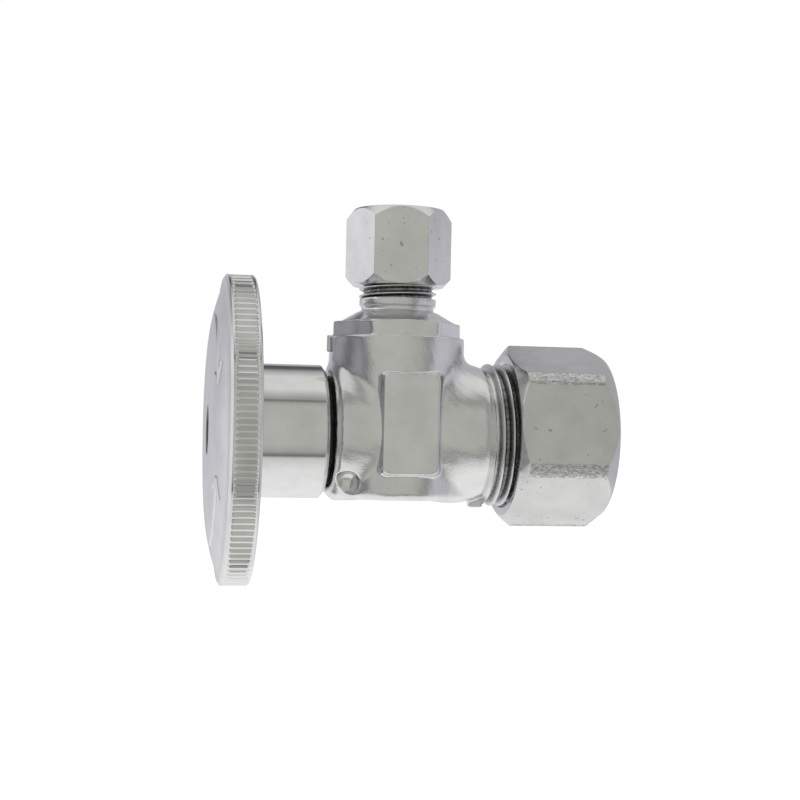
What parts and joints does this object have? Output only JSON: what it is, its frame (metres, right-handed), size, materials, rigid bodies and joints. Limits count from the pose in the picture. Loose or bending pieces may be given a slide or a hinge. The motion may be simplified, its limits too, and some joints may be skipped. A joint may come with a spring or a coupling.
{
  "type": "angle stop valve",
  "caption": "Chrome angle stop valve with a round fluted handle, a large hexagonal compression nut on its side inlet and a small one on top; a rising stem closes the seat.",
  "frame": {"origin": "centre of the inlet nut's outer face, on the inlet tube's axis", "axes": "+X out of the inlet, towards the wall; +Z out of the outlet; the handle is at -X"},
  "size_m": [0.057, 0.044, 0.0541],
  "materials": {
    "plated_body": "bright chrome over forged brass, slightly wavy",
    "plated_handle": "bright chrome over die-cast metal",
    "plated_nut": "bright chrome over machined brass, with fine scratches",
    "brass": "turned brass",
    "spring_steel": "spring steel",
    "rubber": "matte black rubber",
    "packing": "dark graphite packing"
  },
  "bodies": {
    "fixed": {"valve_body": "plated_body", "bonnet": "brass", "bonnet_gasket": "rubber", "packing_washer": "brass", "stem_packing": "packing", "packing_follower": "brass", "packing_nut": "brass"},
    "disc": {"disc_holder": "brass", "swivel_ring": "spring_steel", "seat_washer": "rubber", "washer_screw": "brass"},
    "stem_and_handle": {"stem": "brass", "handle": "plated_handle", "handle_screw": "brass"},
    "outlet_sleeve": {"outlet_ferrule": "brass"},
    "outlet_nut": {"outlet_nut": "plated_nut"},
    "inlet_sleeve": {"inlet_ferrule": "brass"},
    "inlet_nut": {"inlet_nut": "plated_nut"}
  },
  "joints": [
    {"name": "stem_lift", "type": "slide", "parent": "fixed", "child": "disc", "axis": [-1, 0, 0], "range_m": [0, 0.00318]},
    {"name": "handle_turn", "type": "hinge", "parent": "disc", "child": "stem_and_handle", "pos_m": [-0.0301, 0, 0], "axis": [-1, 0, 0], "range_deg": [0, 720]},
    {"name": "outlet_nut_travel", "type": "slide", "parent": "fixed", "child": "outlet_sleeve", "axis": [0, 0, 1], "range_m": [0, 0.00529]},
    {"name": "outlet_nut_turn", "type": "hinge", "parent": "outlet_sleeve", "child": "outlet_nut", "pos_m": [-0.0301, 0, 0.0265], "axis": [0, 0, 1], "range_deg": [0, 1800]},
    {"name": "inlet_nut_travel", "type": "slide", "parent": "fixed", "child": "inlet_sleeve", "axis": [1, 0, 0], "range_m": [0, 0.00706]},
    {"name": "inlet_nut_turn", "type": "hinge", "parent": "inlet_sleeve", "child": "inlet_nut", "pos_m": [-0.007, 0, 0], "axis": [1, 0, 0], "range_deg": [0, 1800]}
  ],
  "couplings": [
    {"joint": "stem_lift", "follows": "handle_turn", "m_per_rad": 0.00025266},
    {"joint": "outlet_nut_travel", "follows": "outlet_nut_turn", "m_per_rad": 0.00016844},
    {"joint": "inlet_nut_travel", "follows": "inlet_nut_turn", "m_per_rad": 0.00022459}
  ]
}
